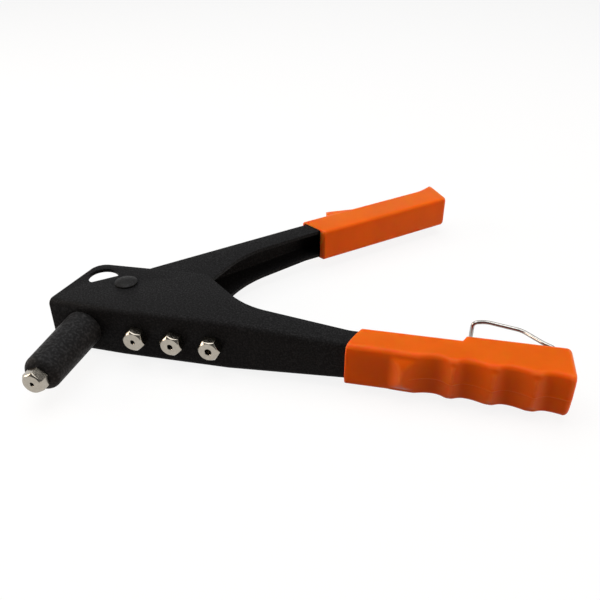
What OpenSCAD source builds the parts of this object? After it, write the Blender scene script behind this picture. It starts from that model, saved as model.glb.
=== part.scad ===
// Hand riveter lying on its side, handles open, latch wire standing.
// Millimetres. The origin is the middle of the working nosepiece's front face.
// The barrel runs along Y with the nose towards -Y, the body grip lies towards +X
// and the tool is the same above and below the plane Z = 0.

/* [Body channel] */
// Distance from the nosepiece face to the front of the body's web
nose_reach = 45; // [40:0.5:54]
// Width across the side plates at the head
head_w = 27.6; // [25:0.2:33.2]
// Width across the side plates inside the body grip
handle_w = 20.8; // [17.2:0.2:25]
// Thickness of the folded steel sheet
sheet = 2; // [1.6:0.1:2.4]
// Outside radius of the folded edges
fold_r = 3; // [2.6:0.1:4]
// Distance from the barrel axis to the open end of the head
head_reach = 17; // [15:0.5:21]
// Depth of the head's side plates behind the front of the web
head_depth = 39; // [37:0.5:47]
// Distance from the barrel axis to the bend between head and handle
bend_x = 20; // [18:0.5:26]
// Angle by which the handle turns back from the head
handle_bend = 2.6; // [0:0.2:5]
// Length of the handle channel from the bend to its end
handle_len = 207; // [195:1:250]
// Depth of the handle channel inside the grip
handle_depth = 11.4; // [9.4:0.1:13.8]

/* [Barrel and nosepieces] */
// Diameter of the barrel where it meets the web
barrel_d = 19; // [17:0.2:23]
// Diameter of the barrel at its nose end
barrel_tip_d = 17.8; // [16:0.2:19]
// Width across the flats of a nosepiece
nose_af = 10; // [9:0.1:12]
// Height of a nosepiece's hexagon
nose_head = 5.6; // [4.5:0.1:7]
// Diameter of a nosepiece's threaded shank
nose_shank_d = 6.9; // [6:0.1:7.6]
// Length of a nosepiece behind its hexagon
nose_tail = 9.4; // [8:0.1:11]
// Hole through the working nosepiece
bore_24 = 2.0; // [1.7:0.1:2.4]
// Hole through the first spare nosepiece
bore_32 = 2.2; // [1.9:0.1:2.6]
// Hole through the second spare nosepiece
bore_40 = 2.7; // [2.4:0.1:3.2]
// Hole through the third spare nosepiece
bore_48 = 3.3; // [3:0.1:3.8]
// Distance between the spare nosepieces
spare_pitch = 19; // [16:0.5:22]

/* [Jaw train] */
// Outside diameter of the jaw case
case_d = 12.4; // [11.4:0.1:13.2]
// Number of teeth along each jaw
jaw_teeth = 6; // [3:1:9]
// Diameter of the pin that joins the jaw train to the lever
pull_pin_d = 4; // [3.4:0.1:4.8]
// Wire of the jaw spring
jaw_wire = 0.8; // [0.6:0.05:1]

/* [Lever] */
// Distance from the barrel axis to the hinge pin
pivot_x = 13; // [12:0.5:15]
// Distance from the front of the web to the hinge pin
pivot_d = 24; // [22:0.5:28]
// Diameter of the hinge pin
pivot_pin_d = 8; // [6.7:0.1:9]
// Angle of the open lever from the head
lever_angle = 49.3; // [45:0.1:55]
// Angle through which the lever closes
lever_swing = 39; // [30:0.5:42]
// Height of the lever's outer face over the hinge axis
lever_rise = 12.8; // [11:0.1:15.4]
// Width across the lever inside its grip
lever_w = 17.6; // [14.6:0.1:19.4]
// Length of the lever from the hinge to the end of its channel
lever_len = 217; // [200:0.5:262]
// Wire of the return spring
return_wire = 1.5; // [1.2:0.1:1.7]

/* [Grips and latch] */
// Length of each grip
grip_len = 100; // [83:0.2:121]
// Wall of the body grip at its sides
grip_wall = 0.9; // [0.7:0.05:1.2]
// Distance between the finger grooves
groove_pitch = 17.7; // [15.5:0.1:22.5]
// Depth of the finger grooves
groove_depth = 1.9; // [1.5:0.1:3.4]
// Wire of the latch
latch_d = 2; // [1.6:0.1:2.4]

/* [Hidden] */

$fn = 64;
black = [0.13, 0.13, 0.13];
orange = [0.89, 0.36, 0.08];
nickel = [0.74, 0.72, 0.68];
steel = [0.55, 0.56, 0.58];
// Radial play of a turning or sliding fit
run_fit = 0.05;
// Play between a thread and its nut
thread_fit = 0.03;
// Space between two pieces that pass each other
free_gap = 0.3;

// Folded channel of the body
inner_r = max(0.4, fold_r - sheet);
// The plates narrow from the head's width to the handle's between these two stations
narrow_from = 54;
// Meeting point of the head's sloping rear edge and the handle's rear edge
crotch = [57.7, 17.3];
crotch_fillet = 35;
// Start of the grip, measured along the handle from the bend
grip_from = handle_len + 3.8 - grip_len;
// End of the body's taper, just inside the grip's mouth
narrow_to = grip_from - 0.5;
// The plates deepen over the last stretch to hold the latch
latch_depth = handle_depth + 4.4;
deep_from = handle_len - 36.5;
// Half-moon window in each side plate
window_at = [-1.6, pivot_d + 3.2];
window_r = 7.65;
window_cut = 2.95;
window_turn = 42.6;

// Lever
side_gap = 0.4;
lever_half = head_w / 2 - sheet - side_gap;
lever_in = lever_half - sheet;
lever_tip_half = lever_w / 2;
lever_bend = 3.8;
lever_bend_u = 112;
lever_narrow_u = 20;
lever_web_u = -2;
ear_r = lever_rise - 2.4;
lever_crotch = [68.4, lever_rise + 1.8];
lever_fillet = 60;
lever_depth = lever_rise + 0.6;
lever_grip_len = grip_len + 4;
lever_grip_from = lever_len - lever_bend_u + 6.1 - lever_grip_len;

// The pull pin stands half the swing before and after the square position
half_swing = lever_swing / 2;
pull_y = nose_reach + pivot_d - pivot_x * tan(half_swing);
pull_r = pull_pin_d / 2;
pull_angle = 180 + half_swing - lever_angle;
pull_radius = pivot_x / cos(half_swing);
slot_half = pull_r + free_gap;
slot_run = (pull_radius - pivot_x) + 0.4;

// Barrel
case_r = case_d / 2;
bore_r = case_r + run_fit;
shank_r = nose_shank_d / 2;
barrel_end = nose_head;
barrel_wall_end = barrel_end + 6;
barrel_round = 4;
spigot_r = bore_r + 1.9;
spigot_end = nose_reach + sheet + 5;
nut_r = min(spigot_r + 2.1, head_w / 2 - sheet - 1);

// Jaw train
case_from = nose_head + nose_tail - 0.5;
cone_from = case_from;
cone_len = 12.5;
cone_r0 = case_r - 2.4;
cone_r1 = case_r - 1;
cone_angle = atan((cone_r1 - cone_r0) / cone_len);
case_to = nose_reach + 2;
plug_from = case_to - 7;
jaw_from = cone_from + 1.6;
jaw_to = cone_from + cone_len - 0.6;
jaw_gap = 0.8;
jaw_bore = 1.25;
tooth = 0.25;
pusher_to = jaw_to + 4.6;
stem_r = 2.2;
stem_to = pusher_to + 4;

// Springs
jaw_spring_r = stem_r + 0.35 + jaw_wire / 2;
jaw_spring_from = pusher_to + jaw_wire / 2 + 0.05;
jaw_spring_to = plug_from - jaw_wire / 2 - 0.05;
jaw_spring_turns = floor((jaw_spring_to - jaw_spring_from) / (jaw_wire + 0.9));
jaw_spring_pitch = (jaw_spring_to - jaw_spring_from) / jaw_spring_turns;
bush_r = pivot_pin_d / 2 + 1;
coil_r = bush_r + 0.45 + return_wire / 2;
coil_pitch = return_wire + 0.9;
coil_turns = 4;

// Latch, in the handle's own directions: along from the bend, depth from the web
latch_r = latch_d / 2;
latch_half = handle_w / 2 - sheet - latch_r - free_gap;
latch_at = [handle_len - 2.5, handle_depth + 0.1];
latch_path = [[0, 0], [-0.1, 9.8], [-4.6, 12.4], [-14.1, 21.2], [-30.6, 25.1], [-36.8, 23.3]];
latch_pin_to = handle_w / 2 - 0.2;

// Places and directions
function polar(r, a) = [r * cos(a), r * sin(a)];
function unit(v) = v / norm(v);
function turn(p, a) = [p.x * cos(a) - p.y * sin(a), p.x * sin(a) + p.y * cos(a)];
function from_handle(p) = [bend_x, 0] + turn(p, handle_bend);
function from_lever_bend(p) = [lever_bend_u, 0] + turn(p, lever_bend);
function arc(c, r, from, to, n) = [for (i = [0 : n]) c + polar(r, from + (to - from) * i / n)];
// Direction, seen from the centre c, of the point where a line from p touches the circle
function touch(p, c, r, side) = atan2(p.y - c.y, p.x - c.x) + side * acos(r / norm(p - c));
// Arc in the inside corner p between two edges that leave it at angles a1 and a2
function fillet(p, a1, a2, r, n) = let (half = (a1 - a2) / 2)
    arc(p + polar(r / sin(half), (a1 + a2) / 2), r, a1 + 90, a2 + 270, n);
function smooth(x) = let (t = min(1, max(0, x))) t * t * (3 - 2 * t);

module head() {
    translate([0, nose_reach, 0]) children();
}

module handle() {
    head() translate([bend_x, 0, 0]) rotate(handle_bend) children();
}

module lever() {
    translate([pivot_x, nose_reach + pivot_d, 0]) rotate(lever_angle) children();
}

// The lever's channel is drawn with its web along X and its plates towards +Y
module lever_channel() {
    lever() translate([0, lever_rise, 0]) mirror([0, 1, 0]) children();
}

module lever_grip_line() {
    lever_channel() translate([lever_bend_u, 0, 0]) rotate(lever_bend) children();
}

// Turns a profile of radius and height so that its axis is the barrel axis
module along_barrel() {
    rotate([-90, 0, 0]) children();
}

// Cross-section of a folded sheet as depth and height: web at the front, two rounded folds
function fold_section(half, front, depth, r) = concat(
    [[depth, half]],
    [for (i = [0 : 6]) [front + r, half - r] + polar(r, 90 + 15 * i)],
    [for (i = [0 : 6]) [front + r, r - half] + polar(r, 180 + 15 * i)],
    [[depth, -half]]
);

// Closed skin over a row of rings that all have the same number of points
module skin(rings) {
    n = len(rings[0]);
    last = len(rings) - 1;
    walls = [
        for (i = [0 : last - 1]) for (k = [0 : n - 1]) let (a = i * n + k, b = i * n + (k + 1) % n)
            each [[a, a + n, b], [b, a + n, b + n]]
    ];
    caps = [[for (k = [0 : n - 1]) k], [for (k = [n - 1 : -1 : 0]) last * n + k]];
    polyhedron([for (ring = rings) each ring], concat(walls, caps), convexity = 10);
}

// Outline of the body's side plates, seen from above, web along X
module body_plan() {
    start = [-head_reach, -1];
    corner_r = 8;
    corner = [5.4 + corner_r - head_reach, head_depth - corner_r];
    peak_r = 4;
    peak = [bend_x + 28, head_depth - 0.4];
    across = peak - corner;
    top = atan2(across.y, across.x) + acos((corner_r - peak_r) / norm(across));
    inside = from_handle(crotch);
    slope = touch(inside, peak, peak_r, 1);
    rear = [grip_from + 1, handle_depth] - crotch;
    polygon(concat(
        [start],
        arc(corner, corner_r, touch(start, corner, corner_r, -1) + 360, top, 12),
        arc(peak, peak_r, top, slope, 6),
        fillet(inside, slope + 90, atan2(rear.y, rear.x) + handle_bend, crotch_fillet, 10),
        [for (q = [
            [grip_from + 1, handle_depth],
            [deep_from, handle_depth],
            [deep_from + 2, latch_depth],
            [handle_len, latch_depth],
            [handle_len, -1],
            [0, -1]
        ]) from_handle(q)]
    ));
}

// Solid block inside the folded channel's outer faces, or its hollow when inset by the sheet
module body_channel(inset, r, depth) {
    wide = fold_section(head_w / 2 - inset, inset, depth, r);
    slim = fold_section(handle_w / 2 - inset, inset, depth, r);
    head() skin([
        [for (q = wide) [-head_reach - 1 - inset, q.x, q.y]],
        [for (q = wide) concat(from_handle([0, q.x]), q.y)],
        [for (q = wide) concat(from_handle([narrow_from, q.x]), q.y)],
        [for (q = slim) concat(from_handle([narrow_to, q.x]), q.y)],
        [for (q = slim) concat(from_handle([handle_len + 1 + inset, q.x]), q.y)]
    ]);
}

// Part of a disc above a straight edge, with both of its corners rounded
module window_plan() {
    r = 1.1;
    side = [sqrt(pow(window_r - r, 2) - pow(window_cut - r, 2)), r - window_cut];
    to = atan2(side.y, side.x);
    translate(window_at) rotate(window_turn) polygon(concat(
        arc(side, r, -90, to, 5),
        arc([0, 0], window_r, to, 180 - to, 30),
        arc([-side.x, side.y], r, 180 - to, 270, 5)
    ));
}

module at_spare(i) {
    handle() translate([8.5 + i * spare_pitch, 0, 0]) children();
}

module body_frame() {
    color(black) difference() {
        intersection() {
            body_channel(0, fold_r, 60);
            head() translate([0, 0, -head_w]) linear_extrude(2 * head_w) body_plan();
        }
        body_channel(sheet, inner_r, 80);
        head() translate([0, 0, -head_w]) linear_extrude(2 * head_w) window_plan();
        head() translate([pivot_x, pivot_d, 0])
            cylinder(r = pivot_pin_d / 2 + thread_fit, h = 2 * head_w, center = true);
        along_barrel() translate([0, 0, nose_reach - 1]) cylinder(r = spigot_r + thread_fit, h = sheet + 2);
        for (i = [0 : 2]) {
            at_spare(i) along_barrel() translate([0, 0, -1]) cylinder(r = shank_r + run_fit, h = sheet + 2);
        }
        handle() translate(latch_at) cylinder(r = latch_r + run_fit, h = 2 * head_w, center = true);
    }
}

module barrel() {
    tip_r = barrel_tip_d / 2;
    color(black) along_barrel() difference() {
        rotate_extrude($fn = 96) {
            polygon([
                [0, barrel_end],
                [tip_r - barrel_round, barrel_end],
                [tip_r, barrel_end + barrel_round],
                [barrel_d / 2, nose_reach],
                [spigot_r, nose_reach],
                [spigot_r, spigot_end],
                [0, spigot_end]
            ]);
            intersection() {
                translate([tip_r - barrel_round, barrel_end + barrel_round]) circle(barrel_round);
                translate([0, barrel_end]) square([barrel_d, barrel_round]);
            }
        }
        translate([0, 0, barrel_end - 1]) cylinder(r = shank_r + run_fit, h = 10);
        translate([0, 0, barrel_wall_end]) cylinder(r = bore_r, h = 80);
    }
}

module barrel_nut() {
    color(steel) along_barrel() translate([0, 0, nose_reach + sheet]) difference() {
        cylinder(r = nut_r, h = 4);
        translate([0, 0, -1]) cylinder(r = spigot_r + thread_fit, h = 6);
        for (a = [45 : 90 : 315]) {
            rotate(a) translate([nut_r - 0.9, -1.5, -1]) cube([4, 3, 6]);
        }
    }
}

// Nosepiece pointing to -Y with its front face at y = 0
module nosepiece(hole) {
    corner_r = nose_af / 2 / cos(30);
    color(nickel) along_barrel() difference() {
        union() {
            intersection() {
                rotate(30) cylinder(r = corner_r, h = nose_head, $fn = 6);
                rotate_extrude() polygon([
                    [0, 0],
                    [nose_af / 2 - 0.3, 0],
                    [corner_r + 0.1, 1.7],
                    [corner_r + 0.1, nose_head - 0.5],
                    [nose_af / 2, nose_head],
                    [0, nose_head]
                ]);
            }
            rotate_extrude() polygon([
                [0, nose_head - 1],
                [shank_r, nose_head - 1],
                [shank_r, nose_head + 5.6],
                [shank_r - 0.6, nose_head + 6.2],
                [2.6, nose_head + 6.2],
                [2.2, nose_head + nose_tail],
                [0, nose_head + nose_tail]
            ]);
        }
        translate([0, 0, -1]) cylinder(d = hole, h = nose_head + nose_tail + 2);
    }
}

module nosepiece_24() {
    nosepiece(bore_24);
}

module nosepiece_32() {
    at_spare(0) translate([0, -nose_head, 0]) nosepiece(bore_32);
}

module nosepiece_40() {
    at_spare(1) translate([0, -nose_head, 0]) nosepiece(bore_40);
}

module nosepiece_48() {
    at_spare(2) translate([0, -nose_head, 0]) nosepiece(bore_48);
}

module jaw_case() {
    color(steel) along_barrel() rotate_extrude() polygon([
        [cone_r0, case_from],
        [case_r - 0.8, case_from],
        [case_r, case_from + 0.8],
        [case_r, case_to],
        [cone_r1, case_to],
        [cone_r1, cone_from + cone_len]
    ]);
}

// One third of the split cone, its toothed bore on the barrel axis
module jaw(a) {
    cone = tan(cone_angle);
    teeth_from = jaw_from + 0.6;
    pitch = (jaw_to - 3.4 - teeth_from) / jaw_teeth;
    outside = [
        [cone_r0 + (jaw_from - cone_from) * cone - free_gap, jaw_from],
        [cone_r0 + (jaw_to - cone_from) * cone - free_gap, jaw_to]
    ];
    inside = [
        [jaw_bore + 1.2, jaw_to - 1.4],
        [jaw_bore, jaw_to - 2.6],
        for (i = [jaw_teeth : -1 : 1]) each [
            [jaw_bore, teeth_from + i * pitch],
            [jaw_bore + tooth, teeth_from + (i - 0.9) * pitch]
        ],
        [jaw_bore, teeth_from],
        [jaw_bore + 0.4, jaw_from]
    ];
    color(steel) along_barrel() rotate(a) difference() {
        rotate_extrude(angle = 120, $fn = 72) polygon(concat(outside, inside));
        for (side = [0, 120]) {
            rotate(side) translate([0, -jaw_gap / 2, 0]) cube([20, jaw_gap, 80]);
        }
    }
}

module jaw_1() {
    jaw(30);
}

module jaw_2() {
    jaw(150);
}

module jaw_3() {
    jaw(270);
}

module jaw_pusher() {
    color(steel) along_barrel() rotate_extrude() polygon([
        [1.4, jaw_to - 1.2],
        [jaw_bore + 0.9, jaw_to - 1.2 + free_gap],
        [jaw_bore + 2.2, jaw_to + free_gap],
        [cone_r1 - free_gap, jaw_to + free_gap],
        [cone_r1 - free_gap, pusher_to],
        [stem_r, pusher_to],
        [stem_r, stem_to],
        [1.4, stem_to]
    ]);
}

module jaw_tail() {
    color(steel) difference() {
        union() {
            along_barrel() rotate_extrude() polygon([
                [1.6, plug_from],
                [cone_r1 - thread_fit - 0.4, plug_from],
                [cone_r1 - thread_fit, plug_from + 0.4],
                [cone_r1 - thread_fit, case_to],
                [case_r - 0.2, case_to],
                [case_r - 0.2, case_to + 2.4],
                [4, case_to + 3],
                [4, pull_y],
                [1.6, pull_y - 5]
            ]);
            translate([0, pull_y, 0]) cylinder(r = pull_r + 2.5, h = 2 * (lever_in - 1), center = true);
        }
        translate([0, pull_y, 0]) cylinder(r = pull_r + thread_fit, h = head_w, center = true);
    }
}

module pull_pin() {
    color(steel) translate([0, pull_y, 0]) cylinder(d = pull_pin_d, h = 2 * lever_half - 0.4, center = true);
}

// Outline of the lever's side plates in the channel's own directions
module lever_plan() {
    hub = [0, lever_rise];
    knee_r = 3;
    knee = [37.8, lever_rise + 14.4];
    slope = touch(lever_crotch, knee, knee_r, 1);
    under = touch(knee, hub, ear_r, 1);
    rear = [lever_bend_u, lever_depth] - lever_crotch;
    polygon(concat(
        [[0, -1]],
        arc(hub, ear_r, 270, under, 8),
        arc(knee, knee_r, 125, slope, 6),
        fillet(lever_crotch, slope + 90, atan2(rear.y, rear.x), lever_fillet, 10),
        [for (q = [
            [0, lever_depth],
            [lever_len - lever_bend_u, lever_depth],
            [lever_len - lever_bend_u, -1],
            [0, -1]
        ]) from_lever_bend(q)]
    ));
}

module lever_shell(inset, r, depth) {
    wide = fold_section(lever_half - inset, inset, depth, r);
    slim = fold_section(lever_tip_half - inset, inset, depth, r);
    lever_channel() skin([
        [for (q = wide) [lever_web_u - inset, q.x, q.y]],
        [for (q = wide) [lever_narrow_u, q.x, q.y]],
        [for (q = slim) concat(from_lever_bend([0, q.x]), q.y)],
        [for (q = slim) concat(from_lever_bend([lever_len - lever_bend_u + 1 + inset, q.x]), q.y)]
    ]);
}

// Round ears that carry the hinge pin and reach over to the pull pin
module ear_plan() {
    hull() {
        circle(ear_r);
        rotate(pull_angle) translate([pull_radius, 0]) circle(pull_r + 4);
    }
}

module lever_frame() {
    color(black) difference() {
        union() {
            intersection() {
                lever_shell(0, fold_r, 60);
                lever_channel() translate([0, 0, -head_w]) linear_extrude(2 * head_w) lever_plan();
            }
            for (z = [lever_in, -lever_half]) {
                lever() translate([0, 0, z]) linear_extrude(sheet) ear_plan();
            }
        }
        lever_shell(sheet, inner_r, 80);
        lever() cylinder(r = pivot_pin_d / 2 + run_fit, h = 2 * head_w, center = true);
        lever() rotate(pull_angle) {
            for (end = [-slot_run, slot_run]) {
                translate([pull_radius + end, 0, 0]) cylinder(r = slot_half, h = 2 * head_w, center = true);
            }
            translate([pull_radius, 0, 0]) cube([2 * slot_run, 2 * slot_half, 2 * head_w], center = true);
        }
    }
}

// Rivet with a low domed head at each side plate
module pivot_pin() {
    head_r = pivot_pin_d / 2 + 1.7;
    rim = 0.9;
    dome = 1.2;
    ball = (head_r * head_r + dome * dome) / (2 * dome);
    color(black) head() translate([pivot_x, pivot_d, 0]) {
        cylinder(d = pivot_pin_d, h = head_w, center = true);
        for (side = [0, 1]) {
            mirror([0, 0, side]) translate([0, 0, head_w / 2]) {
                cylinder(r = head_r, h = rim);
                intersection() {
                    translate([0, 0, rim + dome - ball]) sphere(ball, $fn = 96);
                    translate([0, 0, rim - 0.1]) cylinder(r = head_r, h = dome + 1);
                }
            }
        }
    }
}

module pivot_bush() {
    color(steel) head() translate([pivot_x, pivot_d, 0]) difference() {
        cylinder(r = bush_r, h = 2 * (lever_in - 0.1), center = true);
        cylinder(r = pivot_pin_d / 2 + run_fit, h = head_w, center = true);
    }
}

// Tube of radius r with n sides around a line of points
function directions(p) = [for (i = [0 : len(p) - 1]) unit(p[min(i + 1, len(p) - 1)] - p[max(i - 1, 0)])];
function first_normal(t) = unit(cross(t, abs(t.z) < 0.9 ? [0, 0, 1] : [1, 0, 0]));
function carried(n, t) = unit(n - (n * t) * t);
function normals(t) = [
    for (i = 0, n = first_normal(t[0]); i < len(t); i = i + 1, n = carried(n, t[min(i, len(t) - 1)])) n
];

module tube(p, r, n) {
    t = directions(p);
    u = normals(t);
    last = len(p) - 1;
    points = [
        for (i = [0 : last]) let (v = cross(t[i], u[i]))
            for (k = [0 : n - 1]) p[i] + r * (cos(360 * k / n) * u[i] + sin(360 * k / n) * v)
    ];
    walls = [
        for (i = [0 : last - 1]) for (k = [0 : n - 1]) let (a = i * n + k, b = i * n + (k + 1) % n)
            each [[a, a + n, b], [b, a + n, b + n]]
    ];
    caps = [[for (k = [0 : n - 1]) k], [for (k = [n - 1 : -1 : 0]) last * n + k]];
    polyhedron(points, concat(walls, caps), convexity = 8);
}

// Compression spring around the pusher's stem
module pusher_spring() {
    rings = 8 * jaw_spring_turns;
    path = [for (i = [0 : rings]) let (a = 360 * i / 8) [
        jaw_spring_r * cos(a),
        jaw_spring_r * sin(a),
        jaw_spring_from + jaw_spring_pitch * a / 360
    ]];
    color(steel) along_barrel() tube(path, jaw_wire / 2, 6);
    echo(pusher_spring_gap = jaw_spring_pitch - jaw_wire);
}

// Torsion spring around the bush: one leg under the lever's web, one on the body's web
module return_spring() {
    leg = 45;
    web_side = lever_rise - sheet - free_gap - return_wire / 2;
    lever_leg = lever_angle + asin((web_side - coil_r) / leg);
    rest = from_handle([32, sheet + free_gap + return_wire / 2 + 1.2]) - [pivot_x, pivot_d];
    body_leg = atan2(rest.y, rest.x) + asin(coil_r / norm(rest));
    reach = sqrt(norm(rest) * norm(rest) - coil_r * coil_r);
    from = lever_leg + 90;
    to = body_leg - 90 + 360;
    total = to - from + 360 * coil_turns;
    top = coil_pitch * total / 720;
    steps = ceil(total / 45);
    coil = [for (i = [0 : steps]) let (a = from + total * i / steps)
        concat(polar(coil_r, a), top - 2 * top * i / steps)];
    start = concat(polar(coil_r, from) + polar(leg, lever_leg), top);
    finish = concat(polar(coil_r, to) + polar(reach, body_leg), -top);
    color(steel) head() translate([pivot_x, pivot_d, 0])
        tube(concat([start], coil, [finish]), return_wire / 2, 6);
    echo(return_spring_gap = coil_pitch - return_wire);
}

// Rounded-corner ring of a grip at station s; lean slants the ring along its depth
function grip_ring(s, front, rear, half, r, lean) = [
    for (q = [0 : 3]) for (i = [0 : 4]) let (
        a = 90 * q + 22.5 * i,
        d = (q == 0 || q == 3 ? rear - r : front + r) + r * cos(a),
        z = (q < 2 ? half - r : r - half) + r * sin(a)
    ) [s + lean * (d - front), d, z]
];

// Larger of two depths, with the edge between them rounded
function round_max(a, b) = (a + b + sqrt((a - b) * (a - b) + 0.36)) / 2;

// Front of the body grip, arched across its height; the flat cuff and the finger grooves are cut into it
rib_at = 20.6;
first_crest = 30.6;
grip_front = groove_depth + 0.7;
grip_arch = 3.2;
function front_edge(t) = -grip_front - 0.035 * max(0, t - rib_at);
function cuff_cut(t) = -grip_front - 0.3 * pow(max(0, t - rib_at), 2);
// Each groove is steep on its nose side; the first one, for the index finger, starts earlier
function groove_cut(t, i) = let (
    low = first_crest + i * groove_pitch + groove_pitch * (i == 0 ? 0.6 : 0.38),
    left = i == 0 ? 0.78 : 0.475,
    right = i == 0 ? 0.5 : i == 3 ? 0.9 : 0.775,
    run = groove_pitch * (t < low ? left : right)
) front_edge(t) + groove_depth - (groove_depth + grip_arch) * pow((t - low) / run, 2);
function front_cut(t) = max([cuff_cut(t), for (i = [0 : 3]) groove_cut(t, i)]);

// Front of the body grip as depth and height, from its top edge to its bottom edge; its corners follow the cuts
function arched_front(t, half, r) = let (
    cut = front_cut(t),
    edge = round_max(front_edge(t), cut)
) concat(
    [for (i = [0 : 4]) [edge + r, half - r] + polar(r, 90 + 22.5 * i)],
    [for (i = [-3 : 3]) let (h = -i / 4) [
        round_max(front_edge(t) - grip_arch * (1 - h * h), cut),
        h * (half - r)
    ]],
    [for (i = [0 : 4]) [edge + r, r - half] + polar(r, 180 + 22.5 * i)]
);

// Ring of the body grip t behind its mouth, pulled in by inset and moved on by slide
function body_ring(t, inset, slide, lean) = let (
    half = handle_w / 2 + grip_wall - inset,
    r = 2.5,
    rear = body_back(t) - inset,
    points = concat(
        [for (i = [0 : 4]) [rear - r, half - r] + polar(r, 22.5 * i)],
        [for (q = arched_front(t, half, r)) [q.x + inset, q.y]],
        [for (i = [0 : 4]) [rear - r, r - half] + polar(r, 270 + 22.5 * i)]
    )
) [for (q = points) [
    grip_from + t + slide + lean * (0.25 * (q.x + grip_front) + 0.0095 * pow(max(0, q.x), 2)),
    q.x,
    q.y
]];

body_rear = handle_depth + 3;
step_at = deep_from - 7.9 - grip_from;
function body_back(t) = body_rear + 3.9 * smooth((t - step_at) / 2);

module body_grip() {
    end_r = 3;
    steps = 64;
    plain = grip_len - end_r;
    body = [for (i = [0 : steps]) body_ring(plain * i / steps, 0, 0, 1 - smooth(i / steps * 2.4))];
    tip = [for (a = [30 : 30 : 90]) body_ring(plain, end_r * (1 - cos(a)), end_r * sin(a), 0)];
    play = 0.15;
    slot = latch_r + 0.4;
    color(orange) handle() difference() {
        skin(concat(body, tip));
        translate([0, -play, -handle_w / 2 - play])
            cube([handle_len + play, handle_depth + 2 * play, handle_w + 2 * play]);
        translate([deep_from - play, -play, -handle_w / 2 - play])
            cube([handle_len - deep_from + 2 * play, latch_depth + 2 * play, handle_w + 2 * play]);
        for (side = [-1, 1]) {
            translate([latch_at.x - 4, latch_at.y - latch_r - 0.4, side * latch_half - slot])
                cube([30, 20, 2 * slot]);
        }
    }
}

// Lever grip: plain sleeve with a lip at its end and a ramp that stops the hand
module lever_grip() {
    half = lever_tip_half + grip_wall;
    rear = lever_depth + 4.1;
    end_r = 2.5;
    slant = 0.22;
    end_slant = 0.22;
    steps = 30;
    plain = lever_grip_len - end_r;
    lip = 13;
    front = [for (i = [0 : steps]) -1.4 - 3 * pow(max(0, 1 + plain * (i / steps - 1) / lip), 1.6)];
    body = [for (i = [0 : steps]) let (t = plain * i / steps)
        grip_ring(lever_grip_from + t, front[i], rear, half, 1.9,
            slant * (1 - smooth(i / steps * 2.4)) - end_slant * smooth(i / steps * 2.4 - 1.4))];
    tip = [for (a = [30 : 30 : 90]) let (in = end_r * (1 - cos(a)))
        grip_ring(lever_grip_from + plain + end_r * sin(a), front[steps] + in, rear - in,
            half - in, 1.9, -end_slant)];
    ramp_at = lever_grip_from + 20.4;
    ramp_half = 7;
    play = 0.15;
    color(orange) lever_grip_line() difference() {
        union() {
            skin(concat(body, tip));
            translate([ramp_at, 0, -ramp_half]) linear_extrude(2 * ramp_half) {
                difference() {
                    polygon([[0, 0], [3.2, -9.8], [5, -10.6], [36, -0.8], [36, 0]]);
                    translate([-3.3, -7.2]) circle(5.4);
                }
                translate([5, -9.2]) circle(1.6);
            }
        }
        translate([-5, -play, -lever_tip_half - play])
            cube([lever_len - lever_bend_u + 5 + play, lever_depth + 2 * play, lever_w + 2 * play]);
    }
}

// Bent wire: rounds each corner of a line of points over the length run
function rounded(p, run, n) = [
    p[0],
    for (i = [1 : len(p) - 2]) let (
        to_last = p[i - 1] - p[i],
        to_next = p[i + 1] - p[i],
        a = p[i] + unit(to_last) * min(run, norm(to_last) / 2.1),
        b = p[i] + unit(to_next) * min(run, norm(to_next) / 2.1)
    ) for (k = [0 : n]) let (t = k / n) (1 - t) * (1 - t) * a + 2 * t * (1 - t) * p[i] + t * t * b,
    p[len(p) - 1]
];

module latch_wire() {
    leg = [for (p = latch_path) concat(p, latch_half)];
    other = [for (i = [len(latch_path) - 1 : -1 : 0]) concat(latch_path[i], -latch_half)];
    color(nickel) handle() translate(latch_at) {
        tube(rounded(concat(leg, other), 2.6, 4), latch_r * 0.99, 10);
        for (side = [0, 1]) {
            mirror([0, 0, side]) translate([0, 0, latch_half]) {
                sphere(latch_r);
                cylinder(r = latch_r, h = latch_pin_to - latch_half);
            }
        }
    }
}

body_frame();
barrel();
barrel_nut();
nosepiece_24();
nosepiece_32();
nosepiece_40();
nosepiece_48();
jaw_case();
jaw_1();
jaw_2();
jaw_3();
jaw_pusher();
pusher_spring();
jaw_tail();
pull_pin();
lever_frame();
pivot_pin();
pivot_bush();
return_spring();
body_grip();
lever_grip();
latch_wire();
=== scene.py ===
"""Looks of a hand riveter: fine meshes, finishes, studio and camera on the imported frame.

Sizes of the tool are in millimetres and angles in degrees. MM turns sizes into the frame's metres.
"""

import logging
import math
from abc import ABC, abstractmethod
from collections.abc import Callable, Sequence
from dataclasses import dataclass, field
from enum import Enum

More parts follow.
